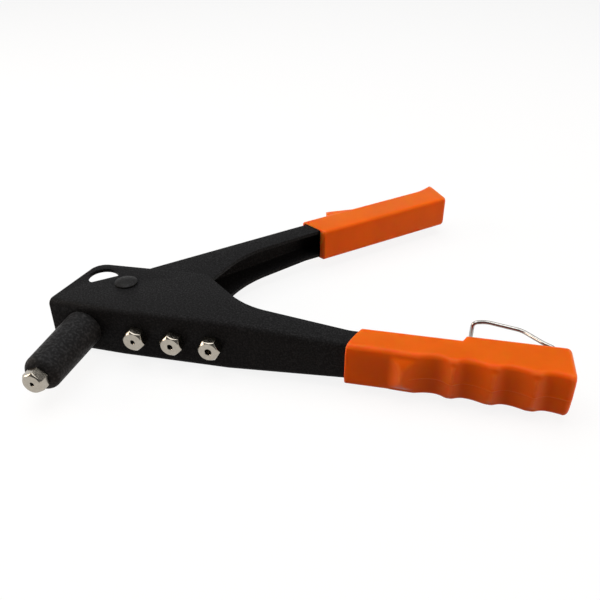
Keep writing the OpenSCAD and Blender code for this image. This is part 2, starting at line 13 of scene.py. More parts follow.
import bmesh
import bpy
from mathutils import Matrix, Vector


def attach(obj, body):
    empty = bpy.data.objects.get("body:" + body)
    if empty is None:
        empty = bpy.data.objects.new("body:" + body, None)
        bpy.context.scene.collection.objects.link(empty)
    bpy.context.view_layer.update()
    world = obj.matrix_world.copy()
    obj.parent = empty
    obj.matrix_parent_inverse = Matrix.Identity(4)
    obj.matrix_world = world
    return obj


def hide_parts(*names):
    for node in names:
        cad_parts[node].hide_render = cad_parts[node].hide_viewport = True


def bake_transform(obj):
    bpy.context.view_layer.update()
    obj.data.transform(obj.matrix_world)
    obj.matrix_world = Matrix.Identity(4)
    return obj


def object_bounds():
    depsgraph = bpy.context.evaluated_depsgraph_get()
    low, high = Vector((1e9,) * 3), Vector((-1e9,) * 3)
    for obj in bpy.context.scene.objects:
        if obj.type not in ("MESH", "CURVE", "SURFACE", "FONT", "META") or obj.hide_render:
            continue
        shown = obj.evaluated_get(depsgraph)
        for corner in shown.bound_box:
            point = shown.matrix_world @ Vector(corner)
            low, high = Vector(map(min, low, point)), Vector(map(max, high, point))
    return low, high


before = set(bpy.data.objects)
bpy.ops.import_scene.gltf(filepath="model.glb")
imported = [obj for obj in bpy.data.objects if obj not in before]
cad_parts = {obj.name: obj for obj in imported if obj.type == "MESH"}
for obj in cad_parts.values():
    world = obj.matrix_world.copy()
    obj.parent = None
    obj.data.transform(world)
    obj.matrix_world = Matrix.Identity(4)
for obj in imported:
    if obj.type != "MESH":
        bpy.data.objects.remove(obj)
CAD_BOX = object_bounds()

MM = 0.001
WIRE_CREASE = 40.0
NOISE_SPAN = (0.3, 0.7)
BAND_PERIOD = 0.314
WHITE = (1.0, 1.0, 1.0)
WARM_FILL = (1.0, 0.84, 0.7)
LOG = logging.getLogger("hand_riveter")

Span = tuple[float, float]
Triple = tuple[float, float, float]
Outline = list[Span]
Ring = list[Vector]
Station = Callable[[float], Span]
Socket = bpy.types.NodeSocket
Piece = bpy.types.Object


class Body(Enum):
    """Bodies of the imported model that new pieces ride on."""

    BODY = "body"
    LEVER = "lever"
    JAW_TRAIN = "jaw_train"
    LATCH = "latch"


class Slot(Enum):
    """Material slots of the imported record."""

    BLACK_COAT = "black_coat"
    BRIGHT_NICKEL = "bright_nickel"
    NICKEL_WIRE = "nickel_wire"
    GRIP_ORANGE = "grip_orange"
    OILED_STEEL = "oiled_steel"
    HARD_STEEL = "hard_steel"
    SPRING_STEEL = "spring_steel"


# Shared geometry


def smooth(x: float) -> float:
    """Return x eased from 0 to 1, level at both ends."""
    t = min(1.0, max(0.0, x))
    return t * t * (3.0 - 2.0 * t)


def round_max(a: float, b: float, blend: float) -> float:
    """Return the larger of two depths, with the edge between them rounded."""
    return (a + b + math.hypot(a - b, blend)) / 2.0


@dataclass(frozen=True)
class Datum:
    """A working plane of the tool in millimetres, with an along and an across direction."""

    origin: Span
    angle: float
    across_right: bool = False

    def point(self, along: float, across: float, height: float = 0.0) -> Vector:
        """Return a point of the plane in the tool's frame.

        Args:
            along: Distance along the plane's own direction, in millimetres.
            across: Distance to its left, or to its right if across_right is set.
            height: Height over the tool's middle plane.

        Returns:
            The point in metres.
        """
        turn = math.radians(self.angle)
        side = -across if self.across_right else across
        x = self.origin[0] + along * math.cos(turn) - side * math.sin(turn)
        y = self.origin[1] + along * math.sin(turn) + side * math.cos(turn)
        return Vector((x, y, height)) * MM


@dataclass(frozen=True)
class Layout:
    """Places that several sub-assemblies share, in millimetres and degrees."""

    nose_reach: float = 45.0
    bend_x: float = 20.0
    handle_bend: float = 2.6
    pivot_x: float = 13.0
    pivot_depth: float = 24.0
    lever_angle: float = 49.3
    lever_rise: float = 12.8
    lever_bend: float = 3.8
    lever_bend_at: float = 112.0
    latch_at: Span = (204.5, 11.5)
    latch_half: float = 7.1
    latch_wire: float = 2.0

    @property
    def handle(self) -> Datum:
        """Plane of the body's handle: along it, and back from its web."""
        return Datum((self.bend_x, self.nose_reach), self.handle_bend)

    @property
    def pivot(self) -> Span:
        """Place of the lever's hinge."""
        return self.pivot_x, self.nose_reach + self.pivot_depth

    @property
    def lever_tip(self) -> Datum:
        """Plane of the lever behind its bend: along it, and in from its web."""
        start = Datum(self.pivot, self.lever_angle).point(self.lever_bend_at, self.lever_rise) / MM
        return Datum((start.x, start.y), self.lever_angle - self.lever_bend, True)


LAYOUT = Layout()


def placed(name: str, data: bpy.types.ID) -> Piece:
    """Put a mesh, a light or a camera into the scene.

    Args:
        name: Name of the object.
        data: What the object shows.

    Returns:
        The new object.
    """
    made = bpy.data.objects.new(name, data)
    bpy.context.scene.collection.objects.link(made)
    return made


def mesh_object(name: str, points: Sequence[Vector], faces: Sequence[Sequence[int]]) -> Piece:
    """Make an object in the scene from points and faces.

    Args:
        name: Name of the piece.
        points: Vertices in metres, in the tool's frame.
        faces: Vertex numbers of each face.

    Returns:
        The new object.
    """
    mesh = bpy.data.meshes.new(name)
    mesh.from_pydata([tuple(p) for p in points], [], [list(f) for f in faces])
    mesh.validate()
    return placed(name, mesh)


def skin(name: str, rings: Sequence[Ring], ends: bool = True) -> Piece:
    """Cover a row of rings with quads.

    Args:
        name: Name of the piece.
        rings: Rings with the same number of points.
        ends: Close both ends with a face; otherwise join the last ring to the first.

    Returns:
        The closed mesh object, its faces turned outwards.
    """
    count, last = len(rings[0]), len(rings) - 1
    faces: list[list[int]] = []
    for i in range(last if ends else last + 1):
        a, b = i * count, (i + 1) % len(rings) * count
        for k in range(count):
            n = (k + 1) % count
            faces.append([a + k, a + n, b + n, b + k])
    if ends:
        faces.append(list(range(count))[::-1])
        faces.append([last * count + k for k in range(count)])
    made = mesh_object(name, [p for ring in rings for p in ring], faces)
    work = bmesh.new()
    work.from_mesh(made.data)
    bmesh.ops.recalc_face_normals(work, faces=work.faces)
    work.to_mesh(made.data)
    work.free()
    return made


def shade(piece: Piece, crease: float) -> None:
    """Shade a piece smooth, with a crease wherever faces meet at more than that many degrees."""
    piece.data.polygons.foreach_set("use_smooth", [True] * len(piece.data.polygons))
    piece.data.set_sharp_from_angle(angle=math.radians(crease))


def tube(name: str, path: Sequence[Vector], radius: float, sides: int) -> Piece:
    """Sweep a round wire along a path without twist.

    Args:
        name: Name of the piece.
        path: Centre line in metres.
        radius: Wire radius in millimetres.
        sides: Points around the wire.

    Returns:
        The closed, shaded wire, with its turn and run kept as a UV map for drawn streaks.
    """
    last = len(path) - 1
    runs = [(path[min(i + 1, last)] - path[max(i - 1, 0)]).normalized() for i in range(last + 1)]
    turns = [math.tau * k / sides for k in range(sides)]
    normal = runs[0].orthogonal().normalized()
    rings: list[Ring] = []
    for centre, run in zip(path, runs):
        normal = (normal - normal.dot(run) * run).normalized()
        side = run.cross(normal)
        rings.append([centre + radius * MM * (math.cos(a) * normal + math.sin(a) * side) for a in turns])
    made = skin(name, rings)
    stations = [0.0]
    for a, b in zip(path, path[1:]):
        stations.append(stations[-1] + (b - a).length)
    layer = made.data.uv_layers.new(name="drawn")
    for loop in made.data.loops:
        ring, k = divmod(loop.vertex_index, sides)
        layer.data[loop.index].uv = (k / sides, stations[ring])
    shade(made, WIRE_CREASE)
    return made


def rounded_path(points: Sequence[Vector], run: float, steps: int) -> list[Vector]:
    """Round each corner of a line.

    Args:
        points: Corners in metres.
        run: Length that each bend takes from both of its legs, in metres.
        steps: Pieces of each bend.

    Returns:
        The line with its bends.
    """
    most_of_leg = 1.0 / 2.1
    path = [points[0].copy()]
    for before, here, after in zip(points, points[1:], points[2:]):
        back, on = before - here, after - here
        a = here + back.normalized() * min(run, back.length * most_of_leg)
        b = here + on.normalized() * min(run, on.length * most_of_leg)
        for i in range(steps + 1):
            t = i / steps
            path.append((1 - t) ** 2 * a + 2 * t * (1 - t) * here + t**2 * b)
    path.append(points[-1].copy())
    return path


def carve(piece: Piece, cutter: Piece) -> None:
    """Cut one mesh out of another for good.

    Args:
        piece: Mesh to cut.
        cutter: Mesh to take away; it is removed afterwards.
    """
    step = piece.modifiers.new("cut", "BOOLEAN")
    step.operation = "DIFFERENCE"
    step.solver = "EXACT"
    step.object = cutter
    bpy.context.view_layer.update()
    graph = bpy.context.evaluated_depsgraph_get()
    result = bpy.data.meshes.new_from_object(piece.evaluated_get(graph))
    piece.modifiers.remove(step)
    piece.data = result
    bpy.data.objects.remove(cutter)


# Finishes


class NodeGraph:
    """Adds and links the shader nodes of one material or world."""

    def __init__(self, owner: bpy.types.Material | bpy.types.World, output: str) -> None:
        """Start an empty graph with its output node.

        Args:
            owner: Material or world that gets the nodes.
            output: Blender's name of the output node's type.
        """
        owner.use_nodes = True
        self.tree = owner.node_tree
        self.tree.nodes.clear()
        self.surface = self.add(output).inputs["Surface"]

    def add(self, kind: str, **settings: object) -> bpy.types.Node:
        """Add a node.

        Args:
            kind: Blender's name of the node type.
            **settings: Properties of the node.

        Returns:
            The new node.
        """
        node = self.tree.nodes.new(kind)
        for key, value in settings.items():
            setattr(node, key, value)
        return node

    def link(self, source: Socket, target: Socket) -> None:
        """Join two sockets."""
        self.tree.links.new(source, target)

    def between(self, value: Socket, span: Span, result: Span) -> Socket:
        """Map a value from one span to another.

        Args:
            value: Value to map.
            span: Its lower and upper end.
            result: What those two become.

        Returns:
            The mapped value, held inside the result's ends.
        """
        node = self.add("ShaderNodeMapRange", interpolation_type="SMOOTHSTEP")
        for key, number in zip(("From Min", "From Max", "To Min", "To Max"), span + result):
            node.inputs[key].default_value = number
        self.link(value, node.inputs["Value"])
        return node.outputs["Result"]

    def tinted(self, share: Socket, first: Triple | Socket, second: Triple) -> Socket:
        """Mix two colours by a share.

        Args:
            share: 0 for the first colour, 1 for the second.
            first: First colour, linear, or the socket that gives it.
            second: Second colour, linear.

        Returns:
            The mixed colour.
        """
        node = self.add("ShaderNodeMix", data_type="RGBA")
        for socket, colour in zip([s for s in node.inputs if s.type == "RGBA"], (first, second)):
            if isinstance(colour, Socket):
                self.link(colour, socket)
            else:
                socket.default_value = (*colour, 1.0)
        self.link(share, node.inputs["Factor"])
        return next(s for s in node.outputs if s.type == "RGBA")

    def joined(self, operation: str, first: Socket, second: Socket) -> Socket:
        """Calculate with two values.

        Args:
            operation: Blender's name of the calculation.
            first: First value.
            second: Second value.

        Returns:
            The result.
        """
        node = self.add("ShaderNodeMath", operation=operation)
        self.link(first, node.inputs[0])
        self.link(second, node.inputs[1])
        return node.outputs["Value"]


@dataclass(frozen=True)
class Relief:
    """A noise bump: spots per metre, finer layers, depth in millimetres and share of the effect."""

    scale: float
    detail: float
    depth: float
    share: float


class FinishGraph(NodeGraph):
    """Graph of a surface finish, around one principled shader."""

    def __init__(self, name: str) -> None:
        """Start a material that holds the shader.

        Args:
            name: Name of the material.
        """
        self.material = bpy.data.materials.new(name)
        super().__init__(self.material, "ShaderNodeOutputMaterial")
        self.shader = self.add("ShaderNodeBsdfPrincipled")
        self.link(self.shader.outputs["BSDF"], self.surface)
        self.place = self.add("ShaderNodeTexCoord").outputs["Object"]

    def fixed(self, values: dict[str, float | Triple]) -> None:
        """Set values that are the same all over on the shader's own sockets."""
        for name, value in values.items():
            self.shader.inputs[name].default_value = value

    def use(self, name: str, socket: Socket) -> None:
        """Let a socket set one of the shader's values."""
        self.link(socket, self.shader.inputs[name])

    def stretched(self, scale: Triple, source: Socket) -> Socket:
        """Scale a place, so that a texture gets longer in one direction.

        Args:
            scale: Factors along X, Y and Z.
            source: The place.

        Returns:
            The scaled place.
        """
        node = self.add("ShaderNodeMapping")
        node.inputs["Scale"].default_value = scale
        self.link(source, node.inputs["Vector"])
        return node.outputs["Vector"]

    def noise(self, scale: float, detail: float, place: Socket | None = None) -> Socket:
        """Add a noise texture.

        Args:
            scale: Spots per metre.
            detail: Finer layers over the first one.
            place: Where to read it, or the object's own place.

        Returns:
            The noise value, about 0.5.
        """
        node = self.add("ShaderNodeTexNoise")
        node.inputs["Scale"].default_value = scale
        node.inputs["Detail"].default_value = detail
        self.link(place or self.place, node.inputs["Vector"])
        return node.outputs["Fac"]

    def bands(self, place: Socket, direction: str, pitch: float, waver: float) -> Socket:
        """Add saw-toothed bands, as a cutting tool leaves them.

        Args:
            place: Where to read them.
            direction: Axis across the bands.
            pitch: Distance of two bands in millimetres.
            waver: How uneven the bands are.

        Returns:
            The height of the bands.
        """
        node = self.add("ShaderNodeTexWave", wave_type="BANDS", bands_direction=direction, wave_profile="SAW")
        node.inputs["Scale"].default_value = BAND_PERIOD / (pitch * MM)
        node.inputs["Distortion"].default_value = waver
        self.link(place, node.inputs["Vector"])
        return node.outputs["Fac"]

    def raised(self, height: Socket, depth: float, share: float, under: Socket | None = None) -> Socket:
        """Turn a height into a bumped normal.

        Args:
            height: Height from 0 to 1.
            depth: What a height of 1 stands for, in millimetres.
            share: Share of the effect.
            under: Normal of a coarser bump below it.

        Returns:
            The normal.
        """
        node = self.add("ShaderNodeBump")
        node.inputs["Distance"].default_value = depth * MM
        node.inputs["Strength"].default_value = share
        self.link(height, node.inputs["Height"])
        if under is not None:
            self.link(under, node.inputs["Normal"])
        return node.outputs["Normal"]

    def relief(self, form: Relief, under: Socket | None = None) -> Socket:
        """Return the normal of a noise bump, over a coarser one if there is one."""
        return self.raised(self.noise(form.scale, form.detail), form.depth, form.share, under)


@dataclass(frozen=True)
class Finish(ABC):
    """A surface finish with one procedural material."""

    name: str
    slot: Slot
    colour: Triple
    roughness: float
    tone_spread: float
    tone_span: Span = NOISE_SPAN
    gloss_change: Span = (-0.05, 0.05)

    def material(self) -> bpy.types.Material:
        """Give the finish's material, made on the first call.

        Returns:
            The material.
        """
        made = bpy.data.materials.get(self.name)
        if made is None:
            graph = FinishGraph(self.name)
            self.paint(graph)
            made = graph.material
        return made

    def mottled(self, graph: FinishGraph, value: Socket) -> Socket:
        """Let the colour get darker and lighter with a value.

        Args:
            graph: The finish's graph.
            value: Value that the colour follows.

        Returns:
            The colour, which the shader now uses.
        """
        dark = tuple(c * (1.0 - self.tone_spread) for c in self.colour)
        light = tuple(min(1.0, c * (1.0 + self.tone_spread)) for c in self.colour)
        varied = graph.tinted(graph.between(value, self.tone_span, (0.0, 1.0)), dark, light)
        graph.use("Base Color", varied)
        return varied

    def glossed(self, graph: FinishGraph, value: Socket) -> None:
        """Let the roughness change with a value."""
        ends = tuple(self.roughness + change for change in self.gloss_change)
        graph.use("Roughness", graph.between(value, NOISE_SPAN, ends))

    @abstractmethod
    def paint(self, graph: FinishGraph) -> None:
        """Add the finish's own nodes to a graph."""


@dataclass(frozen=True)
class PowderCoat(Finish):
    """Fine-textured black powder coat: small grains whose tips catch the light, painted paler too, partly
    grain tone and partly a painted highlight.
    """

    tone_spread: float = 0.4
    tone_span: Span = (0.4, 0.75)
    gloss_change: Span = (0.1, -0.1)
    grain: float = 1300.0
    grain_detail: float = 1.0
    grain_depth: float = 0.1
    grain_share: float = 0.8
    wave_ratio: float = 8.0
    wave_share: float = 0.12
    specular: float = 0.045

    def paint(self, graph: FinishGraph) -> None:
        """Add the grain, its paler tips, partly grain tone and partly a painted highlight, and a slight
        waviness under it.

        Args:
            graph: Graph of the finish's material.
        """
        fine = graph.noise(self.grain, self.grain_detail)
        # The colour follows the grain's bump height: the tips are painted paler, partly grain tone and partly
        # a painted highlight of tips catching the light.
        self.mottled(graph, fine)
        self.glossed(graph, fine)
        wave = Relief(self.grain / self.wave_ratio, self.grain_detail, self.grain_depth, self.wave_share)
        graph.use("Normal", graph.raised(fine, self.grain_depth, self.grain_share, graph.relief(wave)))
        graph.fixed({"Specular IOR Level": self.specular})


@dataclass(frozen=True)
class GripVinyl(Finish):
    """Moulded soft vinyl: saturated, satin, a little uneven and slightly translucent."""

    tone_spread: float = 0.04
    gloss_change: Span = (-0.05, 0.07)
    cloud: float = 55.0
    cloud_detail: float = 3.0
    # Paler orange painted on the convex edges by pointiness, as a painted highlight along the edges.
    edge_highlight: Triple = (0.86, 0.21, 0.04)
    edge_highlight_span: Span = (0.508, 0.54)
    edge_highlight_share: float = 0.5
    dents: Relief = Relief(240.0, 2.0, 0.05, 0.3)
    grain: Relief = Relief(2600.0, 2.0, 0.012, 0.25)
    specular: float = 0.08
    glow: float = 1.0
    glow_reach: Triple = (1.0, 0.14, 0.03)
    glow_depth: float = 2.2

    def paint(self, graph: FinishGraph) -> None:
        """Add the cloudy pigment, a painted highlight along the convex edges, the handling sheen and the
        moulded grain.

        Args:
            graph: Graph of the finish's material.
        """
        cloud = graph.noise(self.cloud, self.cloud_detail)
        pigment = self.mottled(graph, cloud)
        # Pointiness tints the convex edges paler: a painted highlight along the edges.
        edge = graph.add("ShaderNodeNewGeometry").outputs["Pointiness"]
        painted_highlight = graph.between(edge, self.edge_highlight_span, (0.0, self.edge_highlight_share))
        graph.use("Base Color", graph.tinted(painted_highlight, pigment, self.edge_highlight))
        self.glossed(graph, cloud)
        graph.use("Normal", graph.relief(self.grain, graph.relief(self.dents)))
        graph.fixed({"Specular IOR Level": self.specular, "Subsurface Weight": self.glow})
        graph.fixed({"Subsurface Radius": self.glow_reach, "Subsurface Scale": self.glow_depth * MM})


@dataclass(frozen=True)
class NickelPlate(Finish):
    """Nickel plate over turned steel, with fine turning rings on the faces."""

    tone_spread: float = 0.07
    gloss_change: Span = (-0.03, 0.05)
    spots: float = 700.0
    spot_detail: float = 3.0
    ring_pitch: float = 0.22
    ring_waver: float = 0.6
    ring_depth: float = 0.006
    ring_share: float = 0.25

    def paint(self, graph: FinishGraph) -> None:
        """Add turning rings and small dull spots.

        Args:
            graph: Graph of the finish's material.
        """
        radius = graph.add("ShaderNodeAttribute", attribute_name="turned").outputs["Vector"]
        spots = graph.noise(self.spots, self.spot_detail)
        self.mottled(graph, spots)
        self.glossed(graph, spots)
        rings = graph.bands(radius, "X", self.ring_pitch, self.ring_waver)
        graph.use("Normal", graph.raised(rings, self.ring_depth, self.ring_share))
        graph.fixed({"Metallic": 1.0})


@dataclass(frozen=True)
class DrawnWire(Finish):
    """Plated round wire with faint streaks along its run."""

    tone_spread: float = 0.16
    spots: float = 700.0
    spot_detail: float = 2.0
    streaks: Triple = (40.0, 160.0, 1.0)
    streak_detail: float = 3.0
    streak_depth: float = 0.02
    streak_share: float = 0.35

    def paint(self, graph: FinishGraph) -> None:
        """Add streaks that follow the wire and a slightly mottled plate.

        Args:
            graph: Graph of the finish's material.
        """
        run = graph.add("ShaderNodeUVMap", uv_map="drawn").outputs["UV"]
        streak = graph.noise(1.0, self.streak_detail, graph.stretched(self.streaks, run))
        self.mottled(graph, graph.noise(self.spots, self.spot_detail))
        self.glossed(graph, streak)
        graph.use("Normal", graph.raised(streak, self.streak_depth, self.streak_share))
        graph.fixed({"Metallic": 1.0})


@dataclass(frozen=True)
class TurnedSteel(Finish):
    """Plain turned steel with tool marks across the barrel axis and a thin oil film."""

    tone_spread: float = 0.3
    tone_span: Span = (0.75, 0.3)
    gloss_change: Span = (-0.08, 0.12)
    stains: float = 180.0
    stain_detail: float = 4.0
    mark_pitch: float = 0.35
    mark_waver: float = 0.8
    mark_depth: float = 0.02
    mark_share: float = 0.5
    oil: float = 0.25
    oil_roughness: float = 0.2

    def paint(self, graph: FinishGraph) -> None:
        """Add tool marks along the axis, stains and the oil's gloss.

        Args:
            graph: Graph of the finish's material.
        """
        stain = graph.noise(self.stains, self.stain_detail)
        self.mottled(graph, stain)
        self.glossed(graph, stain)
        marks = graph.bands(graph.place, "Y", self.mark_pitch, self.mark_waver)
        graph.use("Normal", graph.raised(marks, self.mark_depth, self.mark_share))
        graph.fixed({"Metallic": 1.0, "Coat Weight": self.oil, "Coat Roughness": self.oil_roughness})


POWDER_COAT = PowderCoat("powder_coat", Slot.BLACK_COAT, (0.0124, 0.0127, 0.0137), 0.56)
BARREL_COAT = PowderCoat(
    "barrel_coat", Slot.BLACK_COAT, (0.0215, 0.022, 0.0234), 0.5, grain=800.0, grain_depth=0.12
)
RIVET_COAT = PowderCoat(
    "rivet_coat", Slot.BLACK_COAT, (0.0075, 0.0075, 0.0078), 0.5, grain_depth=0.03, specular=0.15
)
GRIP_VINYL = GripVinyl("grip_vinyl", Slot.GRIP_ORANGE, (0.775, 0.123, 0.003), 0.36)
NICKEL_PLATE = NickelPlate("nickel_plate", Slot.BRIGHT_NICKEL, (0.4, 0.365, 0.31), 0.2)
LATCH_NICKEL = DrawnWire("latch_nickel", Slot.NICKEL_WIRE, (0.4, 0.385, 0.36), 0.2)
SPRING_WIRE = DrawnWire("spring_wire", Slot.SPRING_STEEL, (0.34, 0.34, 0.35), 0.33)
OILED_STEEL = TurnedSteel("oiled_steel_turned", Slot.OILED_STEEL, (0.3, 0.3, 0.31), 0.36)
HARD_STEEL = TurnedSteel("hard_steel_ground", Slot.HARD_STEEL, (0.17, 0.17, 0.18), 0.36, mark_pitch=0.8)


def dress_piece(piece: Piece, finish: Finish, node: str, body: Body | None = None) -> Piece:
    """Give a new piece its finish and let it stand for a CAD node.

    Args:
        piece: The new object.
        finish: Its surface finish.
        node: CAD node that it stands for.
        body: The body that it rides on, or none for a piece that spans two, which is left unattached.

    Returns:
        The same object.
    """
    piece.data.materials.clear()
    piece.data.materials.append(finish.material())
    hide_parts(node)
    if body is not None:
        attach(piece, body.value)
    LOG.info("%s stands for %s with finish %s", piece.name, node, finish.name)
    return piece


def dress_node(name: str, finish: Finish) -> Piece:
    """Give a CAD node that stays in place its finish.

    Args:
        name: Name of the node.
        finish: Its surface finish.

    Returns:
        The node's object.
    """
    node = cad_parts[name]
    for slot in node.material_slots:
        slot.material = finish.material()
    LOG.info("%s keeps its CAD shape with finish %s", name, finish.name)
    return node


class SubAssembly(ABC):
    """A group of pieces that belong together."""

    @abstractmethod
    def build(self) -> list[Piece]:
        """Make the pieces, dress them and return them."""


# Folded steel


@dataclass
class FoldedChannel(SubAssembly):
    """A channel of folded sheet with softened edges, and the turned pieces on it."""

    name: str
    node: str
    body: Body
    turned: dict[str, Finish]
    edge_round: float = 0.28
    edge_steps: int = 2
    edge_profile: float = 0.6
    fold_crease: float = 32.0
    shade_crease: float = 40.0
    weld: float = 0.002
    flat_within: float = 0.4

    def softened(self) -> Piece:
        """Copy the CAD node with its sharp edges slightly rounded, as coated sheet has.

        Returns:
            The new object.
        """
        work = bmesh.new()
        work.from_mesh(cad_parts[self.node].data)
        bmesh.ops.remove_doubles(work, verts=work.verts, dist=self.weld * MM)
        flat = math.radians(self.flat_within)
        bmesh.ops.dissolve_limit(
            work, angle_limit=flat, verts=work.verts, edges=work.edges, delimit={"MATERIAL"}
        )
        limit = math.radians(self.fold_crease)
        sharp = [e for e in work.edges if len(e.link_faces) == 2 and e.calc_face_angle(0.0) > limit]
        bmesh.ops.bevel(
            work, geom=sharp, offset=self.edge_round * MM, segments=self.edge_steps,
            profile=self.edge_profile, affect="EDGES", clamp_overlap=True,
        )
        bmesh.ops.triangulate(work, faces=[f for f in work.faces if len(f.verts) > 4])
        mesh = bpy.data.meshes.new(self.name)
        work.to_mesh(mesh)
        work.free()
        for extra in ("custom_normal", "sharp_edge"):
            if extra in mesh.attributes:
                mesh.attributes.remove(mesh.attributes[extra])
        made = placed(self.name, mesh)
        shade(made, self.shade_crease)
        return made

    def build(self) -> list[Piece]:
        """Make the channel and dress the turned pieces."""
        channel = dress_piece(self.softened(), POWDER_COAT, self.node, self.body)
        return [channel] + [dress_node(node, finish) for node, finish in self.turned.items()]


@dataclass
class FoldedBody(FoldedChannel):
    """Body channel with its barrel, ring nut and hinge rivet."""

    name: str = "body_channel"
    node: str = "body_frame"
    body: Body = Body.BODY
    turned: dict[str, Finish] = field(
        default_factory=lambda: {"barrel": BARREL_COAT, "barrel_nut": OILED_STEEL, "pivot_pin": RIVET_COAT}
    )


@dataclass
class FoldedLever(FoldedChannel):
    """Lever channel with its hinge bush."""

    name: str = "lever_channel"
    node: str = "lever_frame"
    body: Body = Body.LEVER
    turned: dict[str, Finish] = field(default_factory=lambda: {"pivot_bush": OILED_STEEL})


# Nosepieces


@dataclass
class Nosepiece:
    """One nosepiece: chamfered hexagon, threaded shank and tapered tail, bored through."""

    node: str
    bore: float
    tip: Span
    angle: float
    screwed: float
    flats: float = 10.0
    chamfer: float = 0.45
    chamfer_rise: float = 1.0
    edge_round: float = 0.4
    edge_steps: int = 4
    face_steps: int = 6
    face_edge: Span = (0.08, 0.03)
    rear_chamfer: float = 0.5
    rear_edge: float = 0.1
    bore_edge: float = 0.18
    bore_end: float = 0.12
    head: float = 5.6
    shank_r: float = 3.45
    thread_length: float = 6.2
    thread_pitch: float = 1.0
    thread_depth: float = 0.42
    thread_steps: int = 7
    thread_start: float = 0.8
    thread_stop: float = 0.4
    lead_depth: float = 0.6
    lead_length: float = 0.7
    neck_r: float = 2.6
    tail: float = 9.4
    tail_r: float = 2.25
    tail_round: Span = (0.15, 0.25)
    sides: int = 72
    crease: float = 28.0

    @property
    def face_r(self) -> float:
        """Radius of the flat front face, inside its chamfer."""
        return self.flats / 2.0 - self.chamfer

    def hexagon(self, turn: float) -> float:
        """Return the hexagon's radius.

        Args:
            turn: Direction around the axis.

        Returns:
            The radius in millimetres. One corner points up, turned on by the angle that it is screwed.
        """
        sixth = math.radians(60.0)
        off = (turn - math.radians(90.0 + self.screwed)) % sixth - sixth / 2.0
        return self.flats / 2.0 / math.cos(off)

    def thread(self, turn: float, run: float) -> float:
        """Return the thread's radius.

        Args:
            turn: Direction around the axis.
            run: Distance behind the hexagon.

        Returns:
            The radius in millimetres, run out at both ends of the thread.
        """
        groove = abs(2.0 * ((run / self.thread_pitch - turn / math.tau) % 1.0) - 1.0)
        left = self.thread_length - run
        depth = self.thread_depth * smooth(run / self.thread_start) * smooth(left / self.thread_stop)
        lead = self.lead_depth * smooth(1.0 - left / self.lead_length)
        return min(self.shank_r - depth * (1.0 - groove), self.shank_r - lead)

    def stations(self) -> list[Station]:
        """List the rings from the bore's front edge over the outside and back through the bore.

        Returns:
            One function per ring that gives radius and distance behind the face for a direction.
        """
        hole, face, flat = self.bore / 2.0, self.face_r, self.flats / 2.0
        corner = flat / math.cos(math.radians(30.0))
        fall = self.rear_chamfer / (corner + self.rear_edge - flat)
        neck, end = self.head + self.thread_length, self.head + self.tail

        def plain(radius: float, run: float) -> Station:
            """Return a round ring."""
            return lambda turn: (radius, run)

        def on_chamfer(radius: float, onward: float) -> Span:
            """Return a point of the front chamfer, moved onward along the axis."""
            return radius, (radius - face) * self.chamfer_rise + onward

        def front(share: float) -> Station:
            """Return a ring on the rounded edge from the front chamfer, at 0, to the flats, at 1."""
            inward, onward = self.edge_round * (1.0 - share) ** 2, self.edge_round * share**2
            return lambda turn: on_chamfer(self.hexagon(turn) - inward, onward)

        def rear(turn: float) -> Span:
            """Return the edge between the flats and the rear chamfer."""
            return self.hexagon(turn), self.head - (self.hexagon(turn) - flat) * fall

        def threaded(run: float) -> Station:
            """Return a ring of the thread."""
            return lambda turn: (self.thread(turn, run), self.head + run)

        rings = [plain(hole, self.bore_edge), plain(hole + self.bore_edge, 0.0)]
        rings += [plain(hole + (face - hole) * i / self.face_steps, 0.0) for i in range(1, self.face_steps)]
        rings += [plain(face - self.face_edge[0], 0.0), plain(face + self.face_edge[1], self.face_edge[1])]
        rings += [front(i / self.edge_steps) for i in range(self.edge_steps + 1)] + [rear]
        rings += [plain(flat - self.rear_edge, self.head), plain(self.shank_r, self.head)]
        count = round(self.thread_length / self.thread_pitch * self.thread_steps)
        rings += [threaded(self.thread_length * i / count) for i in range(1, count + 1)]
        rings += [plain(self.neck_r, neck), plain(self.tail_r, end - self.tail_round[1])]
        rings += [plain(self.tail_r - self.tail_round[0], end)]
        return rings + [plain(hole + self.bore_end, end), plain(hole, end - self.bore_end)]

    def make(self) -> Piece:
        """Make the nosepiece on its own axis, with its radius kept for the turning rings.

        Returns:
            The dressed object.
        """
        place = Datum(self.tip, self.angle)
        turns = [math.tau * k / self.sides for k in range(self.sides)]
        rings: list[Ring] = []
        radii: list[float] = []
        for station in self.stations():
            ring: Ring = []
            for turn in turns:
                radius, run = station(turn)
                ring.append(place.point(radius * math.cos(turn), run, radius * math.sin(turn)))
                radii.append(min(radius, self.face_r) * MM)
            rings.append(ring)
        made = skin(self.node + "_turned", rings, ends=False)
        kept = made.data.attributes.new("turned", "FLOAT", "POINT")
        kept.data.foreach_set("value", radii)
        shade(made, self.crease)
        return dress_piece(made, NICKEL_PLATE, self.node, Body.BODY)


@dataclass
class NosepieceSet(SubAssembly):
    """The working nosepiece in the barrel and three spares in the web, each with its bore and turn."""

    spare_from: float = 8.5
    spare_pitch: float = 19.0
    working: Span = (2.0, -5.0)
    spares: dict[str, Span] = field(
        default_factory=lambda: {
            "nosepiece_32": (2.2, 15.0),
            "nosepiece_40": (2.7, 15.0),
            "nosepiece_48": (3.3, 30.0),
        }
    )

    def build(self) -> list[Piece]:
        """Make all four nosepieces.

        Returns:
            The dressed pieces.
        """
        bore, screwed = self.working
        made = [Nosepiece("nosepiece_24", bore, (0.0, 0.0), 0.0, screwed).make()]
        for i, (node, (bore, screwed)) in enumerate(self.spares.items()):
            tip = LAYOUT.handle.point(self.spare_from + i * self.spare_pitch, -Nosepiece.head) / MM
            made.append(Nosepiece(node, bore, (tip.x, tip.y), LAYOUT.handle_bend, screwed).make())
        return made


# Jaw train and springs


